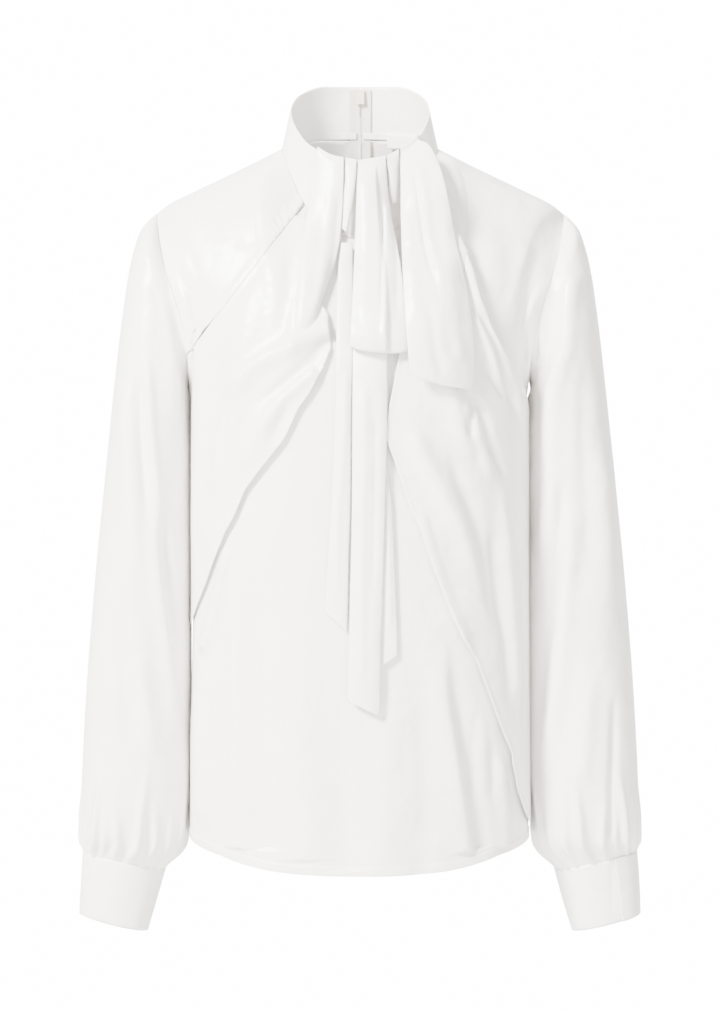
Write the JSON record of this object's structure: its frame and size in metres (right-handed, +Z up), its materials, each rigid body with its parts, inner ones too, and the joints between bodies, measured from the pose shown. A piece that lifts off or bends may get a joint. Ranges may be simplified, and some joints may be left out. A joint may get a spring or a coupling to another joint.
{
  "type": "tie neck blouse",
  "caption": "Long-sleeved satin tie neck blouse in hollow worn form: high zipped collar with a bow, loose crossed over-panels, full sleeves gathered into deep cuffs.",
  "frame": {"origin": "on the body axis at the height where the collar meets the shoulders, where the wearer's neck and shoulders hold the blouse", "axes": "+Z up, front faces -Y, +X is the right side in the front view"},
  "size_m": [0.5506, 0.2419, 0.8357],
  "materials": {
    "satin": "soft ivory satin crepe",
    "label": "woven white",
    "zip_tape": "woven tape",
    "zip_slider": "beige enamel"
  },
  "bodies": {
    "garment": {"front_panel": "satin", "yoke_left": "satin", "yoke_right": "satin", "drape_left": "satin", "drape_right": "satin", "back_left": "satin", "back_right": "satin", "collar": "satin", "neck_tape_left": "satin", "neck_tape_right": "satin", "neck_label": "label", "sleeve_left": "satin", "sleeve_right": "satin", "cuff_left": "satin", "cuff_right": "satin", "tie_band_left": "satin", "tie_fold_left": "satin", "tie_loop": "satin", "tie_fold_right": "satin", "tie_end_right": "satin", "tail_left": "satin", "tail_centre": "satin", "tail_right": "satin", "zip_tape_left": "zip_tape", "zip_tape_right": "zip_tape", "zip_slider": "zip_slider"},
    "pull": {"zip_pull": "zip_slider"}
  },
  "joints": [
    {"name": "zip_pull_swing", "type": "hinge", "parent": "garment", "child": "pull", "pos_m": [0, 0.06682, 0.062], "axis": [1, 0, 0], "range_deg": [0, 150]}
  ]
}
